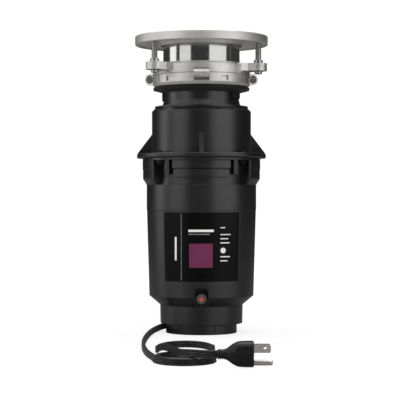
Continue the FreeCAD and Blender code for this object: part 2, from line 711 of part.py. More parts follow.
def cord_tube(name, route):
    """Round tube along straight runs joined by tangent arcs as large as the runs allow."""
    edges = []
    radii = []
    start = route[0]
    for before, corner, after in zip(route, route[1:], route[2:]):
        cut = 0.45 * min((corner - before).Length, (after - corner).Length)
        arrive = (corner - before).normalize()
        depart = (after - corner).normalize()
        half_turn = arrive.getAngle(depart) / 2
        radius = cut / math.tan(half_turn)
        inward = (depart - arrive).normalize()
        middle = corner + inward * (radius / math.cos(half_turn) - radius)
        enter = corner - arrive * cut
        leave = corner + depart * cut
        edges.append(Part.LineSegment(start, enter).toShape())
        edges.append(Part.Arc(enter, middle, leave).toShape())
        radii.append(radius)
        start = leave
    edges.append(Part.LineSegment(start, route[-1]).toShape())
    path = Part.Wire(edges)
    section = Part.Wire(Part.Circle(route[0], route[1] - route[0], CORD_R).toShape())
    tube = path.makePipeShell([section], True, False)
    ideal = math.pi * CORD_R ** 2 * path.Length
    print(name, "length", round(path.Length, 1), "volume / section x length",
          round(tube.Volume / ideal, 4), "radii", [round(r) for r in radii])
    return tube


def oval_band(oval, height):
    """Elliptical ring of the coil's width lying on the floor."""
    x, y, half_x, half_y = oval
    faces = []
    for inset in (0, COIL_BAND):
        a, b = half_x - inset, half_y - inset
        if a >= b:
            curve = Part.Ellipse(Vector(0, 0, 0), a, b)
        else:
            curve = Part.Ellipse(Vector(0, b, 0), Vector(a, 0, 0), Vector(0, 0, 0))
        face = Part.Face(Part.Wire(curve.toShape()))
        face.translate(Vector(x, y, 0.1))
        faces.append(face.extrude(Vector(0, 0, height - 0.1)))
    return faces[0].cut(faces[1])


def cord_coil():
    """Outer shape of the loose coil: a front turn and a longer turn behind it."""
    front = oval_band(COIL_FRONT, COIL_FRONT_HEIGHT)
    return fuse([front, oval_band(COIL_BACK, COIL_BACK_HEIGHT)])


def plug_body():
    """Moulded plug with a wide lobe round the blades and a small one round the earth pin."""
    face_x = PLUG_X + PLUG_NECK_LENGTH + PLUG_BODY_LENGTH
    toward = Vector(1, 0, 0)
    neck = Part.makeCylinder(4.6, PLUG_NECK_LENGTH + 2, Vector(PLUG_X, PLUG_Y, 11), toward)

    def section(x, half_width, half_height, pin_half_width, pin_low):
        top = BLADE_Z + half_height
        waist = BLADE_Z - half_height
        half = [
            (half_width * 0.7, top), (half_width, top - 2), (half_width, waist + 1),
            (pin_half_width, waist - 1.5), (pin_half_width, pin_low + 1.5),
            (pin_half_width * 0.6, pin_low),
        ]
        corners = [Vector(x, PLUG_Y + y, z) for y, z in half]
        corners += [Vector(x, PLUG_Y - y, z) for y, z in reversed(half)]
        return Part.makePolygon(corners + corners[:1])

    small = section(PLUG_X + PLUG_NECK_LENGTH, 5.0, 1.6, 4.4, 6.4)
    wide = section(PLUG_X + PLUG_NECK_LENGTH + 12, 10.4, 6.0, 6.4, 0.3)
    end = section(face_x, 10.4, 6.0, 6.4, 0.3)
    taper = Part.makeLoft([small, wide], True, True)
    straight = Part.makeLoft([wide, end], True, True)
    return fuse([neck, taper, straight])


def plug_blades():
    face_x = PLUG_X + PLUG_NECK_LENGTH + PLUG_BODY_LENGTH
    blades = []
    for side in (-0.5, 0.5):
        y = PLUG_Y + side * BLADE_PITCH
        blade = block(
            (face_x, face_x + BLADE_LENGTH),
            (y - BLADE_THICKNESS / 2, y + BLADE_THICKNESS / 2),
            (BLADE_Z - BLADE_HEIGHT / 2, BLADE_Z + BLADE_HEIGHT / 2),
        )
        ends = [
            edge for edge in blade.Edges
            if edge.BoundBox.XMin > face_x + 1 and edge.BoundBox.YLength > 1
        ]
        blade = blade.makeChamfer(1.0, ends)
        hole = Vector(face_x + 9.5, y - 5, BLADE_Z)
        blades.append(blade.cut(bar(1.6, hole, hole + Vector(0, 10, 0))))
    return blades


def plug_ground_pin():
    face_x = PLUG_X + PLUG_NECK_LENGTH + PLUG_BODY_LENGTH
    start = Vector(face_x, PLUG_Y, PIN_Z)
    pin = bar(PIN_R, start, start + Vector(PIN_LENGTH, 0, 0))
    tip = [edge for edge in pin.Edges if edge.BoundBox.XMin > face_x + 1]
    return pin.makeFillet(1.8, tip)


# ---------------------------------------------------------------- the nodes

os.makedirs("parts", exist_ok=True)

save("sink_flange", sink_flange())
save("fibre_gasket", ring(64.0, 42.0, 304.4, 306.4))
save("backup_ring", backup_ring())
save("upper_mounting_ring", upper_mounting_ring())
save("snap_ring", ring(43.4, SLEEVE_R, 274.3, 276.8))
save("clinch_nuts", around(clinch_nut(), EAR_AZIMUTHS.values()))
for side, azimuth in EAR_AZIMUTHS.items():
    save("mounting_screw_" + side, turned(mounting_screw(), azimuth))
save("lower_mounting_ring", lower_mounting_ring())
save("mounting_gasket", mounting_gasket())
save("splash_guard", splash_guard())

save("throat_collar", throat_collar())
save("grind_housing", grind_housing())
save("drain_spout", drain_spout())
save("shredder_ring", shredder_ring())
save("turntable", turntable())
save("turntable_nut", turntable_nut())
save("impeller_rivets", around(impeller_rivet(), (-90, 90)))
save("impeller_left", turned(impeller(), -90))
save("impeller_right", turned(impeller(), 90))
save("chamber_floor", chamber_floor())
save("shaft_seal", ring(10.0, SHAFT_R + 0.08, 176.0, 184.5))
save("flange_screws", around(flange_screw(), FLANGE_SCREW_AZIMUTHS))
save("flange_nuts", around(flange_nut(), FLANGE_SCREW_AZIMUTHS))

save("motor_shaft", motor_shaft())
save("upper_bearing", ring(11.0, SHAFT_R + SHAFT_FIT, 160.0, 170.0))
save("lower_bearing", ring(9.0, SHAFT_R + SHAFT_FIT, 45.5, 55.0))
save("armature_core", armature_core())
save("armature_winding", armature_winding())
save("commutator", commutator())
save("motor_can", motor_can())
save("field_magnets", [ring(MAGNET_R, 33.2, 70.0, 136.0, 68, side) for side in (90, 270)])
save("lower_end_bell", lower_end_bell())
save("brush_holders", around(brush_holder(), (90, 270)))
save("brushes", around(brush(), (90, 270)))
save("brush_springs", around(brush_spring(), (90, 270)))
save("rectifier_board", rectifier_board())

save("reset_bezel", reset_bezel())
save("reset_button", reset_button())
save("reset_diamond", reset_diamond())
save("overload_switch", overload_switch())

save("motor_housing", motor_housing())
save("lower_shell", lower_shell())
save("label_plate", label_plate())
save("base_cap", base_cap())
save("base_screws", around(base_screw(), BASE_SCREW_AZIMUTHS))

save("cord_gland", cord_gland())
save("cord_strain_relief", cord_strain_relief())
save("cord_lead", cord_tube("cord_lead", LEAD_ROUTE))
save("cord_coil", cord_coil())
save("cord_tail", cord_tube("cord_tail", TAIL_ROUTE))
save("plug_body", plug_body())
save("plug_blades", plug_blades())
save("plug_ground_pin", plug_ground_pin())
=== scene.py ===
import json
import math
import bmesh
import bpy
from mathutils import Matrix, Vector


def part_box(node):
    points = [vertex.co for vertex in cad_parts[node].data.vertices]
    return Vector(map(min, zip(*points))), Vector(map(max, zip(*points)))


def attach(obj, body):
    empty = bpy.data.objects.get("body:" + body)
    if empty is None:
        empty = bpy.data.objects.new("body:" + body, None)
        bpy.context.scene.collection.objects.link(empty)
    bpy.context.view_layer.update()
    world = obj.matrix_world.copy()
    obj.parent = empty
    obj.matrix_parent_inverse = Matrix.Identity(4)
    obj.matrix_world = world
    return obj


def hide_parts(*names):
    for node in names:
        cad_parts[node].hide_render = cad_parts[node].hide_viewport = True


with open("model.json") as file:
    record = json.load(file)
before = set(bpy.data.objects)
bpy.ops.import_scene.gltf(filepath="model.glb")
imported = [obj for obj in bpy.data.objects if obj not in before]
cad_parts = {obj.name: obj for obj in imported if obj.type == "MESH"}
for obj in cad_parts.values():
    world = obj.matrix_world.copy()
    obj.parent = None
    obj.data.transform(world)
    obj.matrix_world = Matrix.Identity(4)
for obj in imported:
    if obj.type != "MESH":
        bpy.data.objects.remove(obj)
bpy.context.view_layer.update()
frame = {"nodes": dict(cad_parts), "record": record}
NODES = frame["nodes"]
MM = 0.001
TURN = 2 * math.pi

scene = bpy.context.scene


# ---------------------------------------------------------------- camera

CAMERA_PLACE = (-0.0015, -1.5225, 0.1386)
FOCAL_LENGTH = 130.5
SENSOR_WIDTH = 36


def make_camera():
    """Level with the middle of the casing, looking straight at its front."""
    data = bpy.data.cameras.new("camera")
    data.lens = FOCAL_LENGTH
    data.sensor_width = SENSOR_WIDTH
    camera = bpy.data.objects.new("camera", data)
    scene.collection.objects.link(camera)
    camera.location = CAMERA_PLACE
    camera.rotation_euler = (math.pi / 2, 0, 0)
    scene.camera = camera


make_camera()


# ---------------------------------------------------------------- shader helpers

class Surface:
    """One procedural material: a principled shader with colour, roughness and bump from noise."""

    def __init__(self, name):
        self.material = bpy.data.materials.new(name)
        self.material.use_nodes = True
        self.nodes = self.material.node_tree.nodes
        self.links = self.material.node_tree.links
        self.shader = self.nodes["Principled BSDF"]
        self.place = self.nodes.new("ShaderNodeTexCoord").outputs["Object"]

    def add(self, kind, **settings):
        node = self.nodes.new(kind)
        for key, value in settings.items():
            setattr(node, key, value)
        return node

    def link(self, source, target):
        self.links.new(source, target)

    def math(self, operation, first, second=0.0):
        node = self.add("ShaderNodeMath", operation=operation)
        for socket, value in zip(node.inputs, (first, second)):
            if isinstance(value, (int, float)):
                socket.default_value = value
            else:
                self.link(value, socket)
        return node.outputs["Value"]

    def noise(self, scale, detail=4.0, place=None, roughness=0.55):
        node = self.add("ShaderNodeTexNoise")
        node.inputs["Scale"].default_value = scale
        node.inputs["Detail"].default_value = detail
        node.inputs["Roughness"].default_value = roughness
        self.link(place or self.place, node.inputs["Vector"])
        return node.outputs["Fac"]

    def around_axis(self):
        """Coordinates that hardly change round the Z axis, for marks left by turning."""
        angle_scale = 0.004
        split = self.add("ShaderNodeSeparateXYZ")
        self.link(self.place, split.inputs[0])
        x, y, z = split.outputs
        radius = self.math("SQRT", self.math("ADD", self.math("MULTIPLY", x, x),
                                             self.math("MULTIPLY", y, y)))
        angle = self.math("MULTIPLY", self.math("ARCTAN2", y, x), angle_scale)
        join = self.add("ShaderNodeCombineXYZ")
        self.link(radius, join.inputs[0])
        self.link(angle, join.inputs[1])
        self.link(z, join.inputs[2])
        return join.outputs[0]

    def ramp(self, fac, stops):
        node = self.add("ShaderNodeValToRGB")
        elements = node.color_ramp.elements
        while len(elements) < len(stops):
            elements.new(0.5)
        for element, (position, colour) in zip(elements, stops):
            element.position = position
            element.color = (*colour, 1)
        self.link(fac, node.inputs["Fac"])
        return node.outputs["Color"]

    def spread(self, fac, low, high):
        node = self.add("ShaderNodeMapRange")
        node.inputs["From Min"].default_value = 0.3
        node.inputs["From Max"].default_value = 0.7
        node.inputs["To Min"].default_value = low
        node.inputs["To Max"].default_value = high
        self.link(fac, node.inputs["Value"])
        return node.outputs["Result"]

    def mix(self, fac, first, second):
        node = self.add("ShaderNodeMix", data_type="RGBA")
        for socket, value in zip((node.inputs[0], node.inputs[6], node.inputs[7]),
                                 (fac, first, second)):
            if isinstance(value, tuple):
                socket.default_value = (*value, 1)
            elif isinstance(value, float):
                socket.default_value = value
            else:
                self.link(value, socket)
        return node.outputs[2]

    def edges(self, radius):
        """(rounded normal, and a share that is 1 on sharp edges, with which materials paint a
        highlight along the edges).
        """
        bevel = self.add("ShaderNodeBevel", samples=6)
        bevel.inputs["Radius"].default_value = radius
        face = self.add("ShaderNodeNewGeometry").outputs["Normal"]
        dot = self.add("ShaderNodeVectorMath", operation="DOT_PRODUCT")
        self.link(bevel.outputs["Normal"], dot.inputs[0])
        self.link(face, dot.inputs[1])
        edge_highlight_mask = self.math("MULTIPLY", self.math("SUBTRACT", 1.0, dot.outputs["Value"]), 3.0)
        return bevel.outputs["Normal"], edge_highlight_mask

    def bump(self, height, strength, distance, normal):
        node = self.add("ShaderNodeBump")
        node.inputs["Strength"].default_value = strength
        node.inputs["Distance"].default_value = distance
        self.link(height, node.inputs["Height"])
        self.link(normal, node.inputs["Normal"])
        return node.outputs["Normal"]

    def finish(self, colour, roughness, normal, metallic=0.0, **sockets):
        self.link(colour, self.shader.inputs["Base Color"])
        self.link(roughness, self.shader.inputs["Roughness"])
        self.link(normal, self.shader.inputs["Normal"])
        self.shader.inputs["Metallic"].default_value = metallic
        for key, value in sockets.items():
            self.shader.inputs[key.replace("_", " ")].default_value = value
        return self.material


def shade(colour, factor):
    return tuple(channel * factor for channel in colour)


def plastic(name, colour, roughness=0.36, grain=2600, edge_wear_and_highlight=2.2, gloss=0.5):
    """Moulded plastic: fine spark-eroded grain, faint flow mottling, and paler edges that are
    partly wear and partly a painted highlight.
    """
    s = Surface(name)
    mottle = s.noise(24, 3)
    fine = s.noise(grain, 3)
    tone = s.ramp(mottle, [(0.3, shade(colour, 0.88)), (0.7, shade(colour, 1.12))])
    normal, edge = s.edges(0.0006)
    # Paler edges: wear together with a painted highlight along them.
    tone = s.mix(s.math("MULTIPLY", edge, 0.6), tone, shade(colour, edge_wear_and_highlight))
    rough = s.spread(s.noise(60, 5), roughness - 0.025, roughness + 0.03)
    return s.finish(tone, rough, s.bump(fine, 0.14, 0.00005, normal),
                    Specular_IOR_Level=gloss)


def turned_metal(name, colour, roughness, lines=1500, depth=0.18, edge_radius=0.0005):
    """Metal finished on a lathe: fine lines round the axis, soft stains and edges lightened as a
    painted highlight.
    """
    s = Surface(name)
    place = s.around_axis()
    fine = s.noise(lines, 2, place)
    stain = s.noise(38, 4)
    tone = s.ramp(stain, [(0.3, shade(colour, 0.88)), (0.7, shade(colour, 1.06))])
    tone = s.mix(s.spread(fine, 0.0, 0.22), tone, shade(colour, 0.7))
    normal, edge = s.edges(edge_radius)
    # Painted highlight: the edges are lightened in colour.
    tone = s.mix(s.math("MULTIPLY", edge, 0.7), tone, shade(colour, 1.25))
    rough = s.spread(s.noise(lines * 0.4, 3, place), roughness - 0.05, roughness + 0.07)
    return s.finish(tone, rough, s.bump(fine, depth, 0.00005, normal), metallic=1.0)


def plated_metal(name, colour, roughness, grain=240, edge_radius=0.0005):
    """Pressed or cut steel with a zinc or nickel plate: cloudy crystals and small dull spots."""
    s = Surface(name)
    cloud = s.noise(55, 5)
    spangle = s.noise(grain, 4)
    tone = s.ramp(cloud, [(0.3, shade(colour, 0.86)), (0.55, colour), (0.75, shade(colour, 1.1))])
    tone = s.mix(s.spread(spangle, 0.0, 0.16), tone, shade(colour, 0.78))
    normal, edge = s.edges(edge_radius)
    # Painted highlight: the edges are lightened in colour.
    tone = s.mix(s.math("MULTIPLY", edge, 0.8), tone, shade(colour, 1.3))
    rough = s.spread(spangle, roughness - 0.03, roughness + 0.04)
    return s.finish(tone, rough, s.bump(spangle, 0.08, 0.00005, normal), metallic=1.0)


def cast_metal(name, colour, roughness=0.5):
    """Die-cast metal: sandy skin with darker hollows."""
    s = Surface(name)
    skin = s.noise(420, 6, roughness=0.7)
    tone = s.ramp(skin, [(0.32, shade(colour, 0.7)), (0.6, colour), (0.8, shade(colour, 1.15))])
    normal, edge = s.edges(0.0008)
    # Painted highlight: the edges are lightened in colour.
    tone = s.mix(s.math("MULTIPLY", edge, 0.6), tone, shade(colour, 1.3))
    rough = s.spread(skin, roughness - 0.08, roughness + 0.1)
    return s.finish(tone, rough, s.bump(skin, 0.35, 0.0004, normal), metallic=1.0)


def rubber(name, colour, roughness=0.62, grain=1100):
    """Moulded rubber: matt, with dusty mottling and a soft sheen."""
    s = Surface(name)
    dust = s.noise(75, 6, roughness=0.65)
    tone = s.ramp(dust, [(0.3, shade(colour, 0.75)), (0.7, shade(colour, 1.45))])
    normal, edge = s.edges(0.0005)
    # Painted highlight: the edges are lightened in colour.
    tone = s.mix(s.math("MULTIPLY", edge, 0.5), tone, shade(colour, 2.0))
    rough = s.spread(s.noise(150, 4), roughness - 0.08, roughness + 0.1)
    return s.finish(tone, rough, s.bump(s.noise(grain, 3), 0.22, 0.0002, normal),
                    Specular_IOR_Level=0.4, Sheen_Weight=0.05)


def laminated(name, colour):
    """Stack of thin punched sheets: level lines one sheet apart, with a blued skin."""
    s = Surface(name)
    wave = s.add("ShaderNodeTexWave", bands_direction="Z")
    wave.inputs["Scale"].default_value = 320
    wave.inputs["Distortion"].default_value = 0.4
    s.link(s.place, wave.inputs["Vector"])
    tone = s.ramp(wave.outputs["Fac"], [(0.2, shade(colour, 0.5)), (0.8, shade(colour, 1.3))])
    normal, _ = s.edges(0.0004)
    rough = s.spread(s.noise(90, 4), 0.38, 0.55)
    return s.finish(tone, rough, s.bump(wave.outputs["Fac"], 0.5, 0.0003, normal), metallic=0.9)


def enamelled_wire(name, colour):
    """Wound copper: bands one wire apart under clear enamel."""
    s = Surface(name)
    wave = s.add("ShaderNodeTexWave", bands_direction="DIAGONAL")
    wave.inputs["Scale"].default_value = 260
    wave.inputs["Distortion"].default_value = 1.2
    s.link(s.place, wave.inputs["Vector"])
    tone = s.ramp(wave.outputs["Fac"], [(0.15, shade(colour, 0.35)), (0.7, shade(colour, 1.2))])
    normal, _ = s.edges(0.0004)
    rough = s.spread(s.noise(120, 3), 0.22, 0.4)
    return s.finish(tone, rough, s.bump(wave.outputs["Fac"], 0.8, 0.0004, normal),
                    metallic=1.0, Coat_Weight=0.4)


def fibrous(name, colour, fleck):
    """Pressed fibre or board: short matted strands in two tones."""
    s = Surface(name)
    strands = s.noise(620, 8, roughness=0.75)
    tone = s.ramp(strands, [(0.35, fleck), (0.6, colour), (0.75, shade(colour, 1.25))])
    normal, _ = s.edges(0.0004)
    rough = s.spread(strands, 0.7, 0.9)
    return s.finish(tone, rough, s.bump(strands, 0.4, 0.0003, normal), Specular_IOR_Level=0.3)


def printed(name, colour, roughness=0.3, gloss=0.5, coat=0.15):
    """Ink on a laminated film: near flat, with a faint screen and handling smears."""
    s = Surface(name)
    screen = s.noise(1400, 2)
    tone = s.ramp(s.noise(60, 4), [(0.3, shade(colour, 0.9)), (0.7, shade(colour, 1.08))])
    tone = s.mix(s.spread(screen, 0.0, 0.12), tone, shade(colour, 0.8))
    normal, _ = s.edges(0.0002)
    rough = s.spread(s.noise(85, 5), roughness - 0.06, roughness + 0.1)
    return s.finish(tone, rough, s.bump(screen, 0.05, 0.0001, normal),
                    Specular_IOR_Level=gloss, Coat_Weight=coat)


CHARCOAL = (0.0022, 0.0025, 0.0022)

MATERIALS = {
    "nickel_ring": turned_metal("satin nickel", (0.93, 0.92, 0.89), 0.5, 900),
    "polished_sleeve": turned_metal("polished stainless", (0.74, 0.74, 0.73), 0.1, 2200, 0.05),
    "mount_steel": plated_metal("zinc plated pressing", (0.9, 0.89, 0.86), 0.45),
    "screw_steel": plated_metal("zinc plated screw", (0.56, 0.55, 0.51), 0.24, 700, 0.0002),
    "black_screw": plated_metal("blackened screw", (0.03, 0.03, 0.032), 0.4, 500, 0.0003),
    "housing_plastic": plastic("charcoal housing", CHARCOAL, 0.34, gloss=1.0),
    "shell_plastic": plastic("charcoal shell", CHARCOAL, 0.34, gloss=1.0),
    "black_rubber": rubber("black rubber", (0.004, 0.004, 0.0041)),
    "fibre": fibrous("pressed fibre", (0.36, 0.23, 0.12), (0.16, 0.09, 0.05)),
    "stainless": turned_metal("stainless steel", (0.6, 0.6, 0.59), 0.26, 1200),
    "cast_aluminium": cast_metal("cast aluminium", (0.62, 0.62, 0.63), 0.46),
    "shaft_steel": turned_metal("ground steel", (0.5, 0.5, 0.51), 0.2, 2600, 0.08),
    "laminations": laminated("core sheets", (0.16, 0.17, 0.2)),
    "copper_wire": enamelled_wire("copper winding", (0.6, 0.22, 0.09)),
    "bronze": turned_metal("bearing bronze", (0.52, 0.32, 0.15), 0.35, 1400),
    "magnet": cast_metal("ferrite magnet", (0.05, 0.05, 0.055), 0.6),
    "can_steel": plated_metal("motor can", (0.45, 0.45, 0.46), 0.36, 160),
    "carbon": cast_metal("brush carbon", (0.03, 0.03, 0.032), 0.55),
    "board": fibrous("circuit board", (0.03, 0.13, 0.05), (0.02, 0.08, 0.035)),
    "button_grey": plastic("grey button", (0.055, 0.052, 0.05), 0.4, edge_wear_and_highlight=1.6),
    "button_red": plastic("red mark", (0.5, 0.07, 0.05), 0.35, edge_wear_and_highlight=1.3),
    "bezel_black": plastic("black bezel", (0.003, 0.003, 0.0032), 0.42, edge_wear_and_highlight=4.0),
    "label": printed("black label", (0.0006, 0.0006, 0.0006), 0.34, gloss=0.2, coat=0.0),
    "cord_rubber": rubber("cord rubber", (0.0028, 0.0031, 0.003), 0.31, 700),
    "plug_plastic": rubber("plug vinyl", (0.0028, 0.0031, 0.003), 0.33, 900),
    "blade_metal": plated_metal("nickel plated brass", (0.86, 0.84, 0.8), 0.42, 600, 0.0003),
}

LABEL_INK = printed("white ink", (0.85, 0.85, 0.83), 0.4)
LABEL_GREY_INK = printed("grey ink", (0.22, 0.22, 0.22), 0.4)
LABEL_TINT = printed("magenta ink", (0.144, 0.017, 0.072), 0.36)


def dress_cad_nodes():
    """Gives each CAD node the material of its slot in the record."""
    for subpart in frame["record"]["subparts"]:
        node = NODES[subpart["node"]]
        for material_slot in node.material_slots:
            material_slot.material = MATERIALS[subpart["material_slot"]]


dress_cad_nodes()


# ---------------------------------------------------------------- mesh helpers

def piece(name, mesh_or_curve, body, slot_name, material=None, stands_for=()):
    """Puts a new piece on a CAD body, in its slot's material."""
    made = bpy.data.objects.new(name, mesh_or_curve)
    scene.collection.objects.link(made)
    made.data.materials.append(material or MATERIALS[slot_name])
    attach(made, body)
    if stands_for:
        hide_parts(*stands_for)
    return made


def smooth(mesh):
    for polygon in mesh.polygons:
        polygon.use_smooth = True


def mesh_from(name, points, faces):
    """Smooth-shaded mesh with its normals facing outwards."""
    mesh = bpy.data.meshes.new(name)
    mesh.from_pydata([tuple(point) for point in points], [], faces)
    mesh.update()
    made = bmesh.new()
    made.from_mesh(mesh)
    bmesh.ops.recalc_face_normals(made, faces=made.faces)
    made.to_mesh(mesh)
    made.free()
    smooth(mesh)
    return mesh


def lofted(name, rings):
    """Closed skin through rings of equally many points, with a cap at each end."""
    count = len(rings[0])
    points = [point for loop in rings for point in loop]
    faces = []
    for row in range(len(rings) - 1):
        for column in range(count):
            after = (column + 1) % count
            low, high = row * count, (row + 1) * count
            faces.append((low + column, low + after, high + after, high + column))
    faces.append(tuple(range(count)))
    last = (len(rings) - 1) * count
    faces.append(tuple(range(last, last + count)))
    return mesh_from(name, points, faces)


# ---------------------------------------------------------------- supply cord

CORD_WIDTH = 6.6 * MM
CORD_HALF_THICKNESS = 1.8 * MM
ON_FLOOR = 3.4 * MM
ON_CORD = 10.0 * MM

LEAD_ROUTE = [
    (-0.0140, 0.0420, 0.0048),
    (-0.0245, 0.0420, 0.0045),
    (-0.0348, 0.0370, 0.0040),
    (-0.0419, 0.0279, 0.0036),
    (-0.0450, 0.0132, 0.0034),
    (-0.0496, -0.0144, 0.0034),
    (-0.0530, -0.0520, 0.0034),
    (-0.0550, -0.1010, 0.0034),
    (-0.0552, -0.1560, 0.0034),
    (-0.0524, -0.2060, 0.0034),
    (-0.0476, -0.2470, 0.0034),
    (-0.0410, -0.2790, 0.0034),
]
TAIL_ROUTE = [
    (-0.0090, -0.3080, 0.0104),
    (0.0008, -0.3183, 0.0108),
    (0.0130, -0.3220, 0.0110),
]


def turn_points(centre, half_axes, start, end, count, heights):
    """Points of part of a loose turn whose size and height change evenly along it."""
    (x, y), (wide, long_) = centre, half_axes
    points = []
    for index in range(count):
        along = index / (count - 1)
        angle = math.radians(start + (end - start) * along)
        a = wide[0] + (wide[1] - wide[0]) * along
        b = long_[0] + (long_[1] - long_[0]) * along
        z = heights[0] + (heights[1] - heights[0]) * along
        points.append((x + a * math.cos(angle), y + b * math.sin(angle), z))
    return points


def coil_route():
    """A front turn, a smaller one inside it, and a longer turn behind, back over the first."""
    front = (-0.0145, -0.2845)
    back = (-0.0150, -0.2080)
    first = turn_points(front, ((0.0265, 0.0262), (0.0312, 0.0290)), 196, 522, 13,
                        (ON_FLOOR, ON_FLOOR))
    second = turn_points(front, ((0.0222, 0.0226), (0.0255, 0.0262)), 196, 348, 7,
                         (ON_FLOOR, ON_FLOOR))
    over_first = [
        (0.0088, -0.2800, 0.0078), (0.0092, -0.2705, ON_CORD), (0.0096, -0.2590, ON_CORD),
        (0.0101, -0.2450, 0.0068), (0.0104, -0.2320, 0.0042),
    ]
    behind = turn_points(back, ((0.0254, 0.0256), (0.0480, 0.0490)), -12, 180, 9,
                         (ON_FLOOR, ON_FLOOR))
    back_over = [
        (-0.0402, -0.2220, 0.0046), (-0.0384, -0.2360, 0.0074), (-0.0345, -0.2480, ON_CORD),
        (-0.0295, -0.2590, ON_CORD), (-0.0236, -0.2710, 0.0088), (-0.0185, -0.2840, 0.0083),
        (-0.0142, -0.2965, 0.0094),
    ]
    return first + second + over_first + behind + back_over


def cord_profile():
    """Flat three-core section standing on edge, with two grooves down each side."""
    curve = bpy.data.curves.new("cord_profile", "CURVE")
    curve.dimensions = "2D"
    spline = curve.splines.new("POLY")
    steps = 28
    half = CORD_WIDTH / 2
    side = []
    for index in range(steps + 1):
        height = -math.cos(math.pi * index / steps)
        groove = 1 - 0.3 * math.sin(1.5 * math.pi * height) ** 2
        side.append((CORD_HALF_THICKNESS * (1 - height ** 6) ** 0.5 * groove, half * height))
    outline = side + [(-x, y) for x, y in reversed(side[1:-1])]
    spline.points.add(len(outline) - 1)
    for point, (x, y) in zip(spline.points, outline):
        point.co = (x, y, 0, 1)
    spline.use_cyclic_u = True
    made = bpy.data.objects.new("cord_profile", curve)
    scene.collection.objects.link(made)
    made.hide_render = True
    made.hide_viewport = True
    return made


def make_cord():
    """One open spline from the gland to the plug, with the flat section swept along it."""
    curve = bpy.data.curves.new("power_cord", "CURVE")
    curve.dimensions = "3D"
    curve.twist_mode = "Z_UP"
    curve.resolution_u = 8
    route = LEAD_ROUTE + coil_route() + TAIL_ROUTE
    spline = curve.splines.new("NURBS")
    spline.points.add(len(route) - 1)
    for point, place in zip(spline.points, route):
        point.co = (*place, 1)
    spline.order_u = 3
    spline.use_endpoint_u = True
    spline.resolution_u = 8
    curve.bevel_mode = "OBJECT"
    curve.bevel_object = cord_profile()
    curve.use_fill_caps = True
    return piece("power_cord", curve, "unit", "cord_rubber",
                 stands_for=("cord_lead", "cord_coil", "cord_tail"))


def circle_about_x(x, y, z, radius):
    """Points of a circle in a plane across X."""
    count = 40
    return [
        (x, y + radius * math.cos(TURN * i / count), z + radius * math.sin(TURN * i / count))
        for i in range(count)
    ]


def make_strain_relief():
    """Tapered sleeve with rings moulded round it, from the gland towards the left."""
    low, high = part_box("cord_strain_relief")
    y = (low.y + high.y) / 2
    z = (low.z + high.z) / 2
    thick, thin = (high.y - low.y) / 2, 3.5 * MM
    rings = 7
    loops = [circle_about_x(high.x, y, z, thick * 0.9)]
    for index in range(rings):
        start = high.x - (high.x - low.x) * index / rings
        width = (high.x - low.x) / rings
        outer = thick + (thin - thick) * (index + 0.3) / rings
        for along, share in ((0.08, 0.97), (0.2, 1.0), (0.5, 1.0), (0.62, 0.97), (0.7, 0.86),
                             (0.92, 0.85)):
            loops.append(circle_about_x(start - width * along, y, z, outer * share))
    loops.append(circle_about_x(low.x, y, z, thin * 0.9))
    return piece("strain_relief", lofted("strain_relief", loops), "unit", "cord_rubber",
                 stands_for=("cord_strain_relief",))


# ---------------------------------------------------------------- plug

def plug_section(x, centre_y, low, high, half_width, waist, corner):
    """Rounded section across the plug, pinched between the blade lobe and the pin lobe."""
    count = 56
    middle, half_height = (low + high) / 2, (high - low) / 2
    waist_z = low + (high - low) * 0.42
    points = []
    for index in range(count):
        angle = TURN * index / count
        c, s = math.cos(angle), math.sin(angle)
        across = half_width * math.copysign(abs(c) ** (2 / corner), c)
        z = middle + half_height * math.copysign(abs(s) ** (2 / corner), s)
        below = 1 / (1 + math.exp((z - waist_z) / (0.9 * MM)))
        pinch = 1 - waist * math.exp(-((z - waist_z) / (1.3 * MM)) ** 2)
        narrow = 1 - 0.36 * below * min(1.0, waist * 8)
        points.append((x, centre_y + across * narrow * pinch, z))
    return points


def make_plug():
    """Moulded plug: a ribbed neck, then a body with a blade lobe above a pin lobe."""
    low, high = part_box("plug_body")
    y = (low.y + high.y) / 2
    neck_z = 11 * MM
    neck_r = 4.4 * MM
    rib_pitch = 1.6 * MM
    half = (high.y - low.y) / 2
    length = high.x - low.x
    loops = []
    # The ribbed neck.
    for index in range(4):
        start = low.x + index * rib_pitch
        for along, share in ((0.0, 0.84), (0.25, 0.86), (0.45, 1.0), (0.85, 1.0)):
            radius = neck_r * share
            loops.append(plug_section(start + along * rib_pitch, y, neck_z - radius,
                                      neck_z + radius, radius, 0.0, 2.0))
    # The body opens from the neck to the full two-lobed face, whose edge is rounded. Each
    # row is a share of the length, of the width and of the height, the waist, the corner.
    shape = (
        (0.26, 0.46, 0.46, 0.0, 2.2), (0.33, 0.60, 0.60, 0.03, 2.4), (0.42, 0.78, 0.78, 0.07, 2.8),
        (0.54, 0.93, 0.94, 0.11, 3.2), (0.66, 0.985, 0.99, 0.13, 3.4), (0.8, 1.0, 1.0, 0.14, 3.6),
        (0.95, 1.0, 1.0, 0.14, 3.6), (0.985, 0.985, 0.985, 0.14, 3.6), (1.0, 0.93, 0.95, 0.14, 3.6),
    )
    for along, wide, tall, waist, corner in shape:
        bottom = neck_z - (neck_z - low.z) * tall
        top = neck_z + (high.z - neck_z) * tall
        loops.append(plug_section(low.x + length * along, y, bottom, top, half * wide, waist,
                                  corner))
    body = piece("plug", lofted("plug", loops), "unit", "plug_plastic",
                 stands_for=("plug_body",))
    grip = make_plug_grip(y, low, high)
    return body, grip


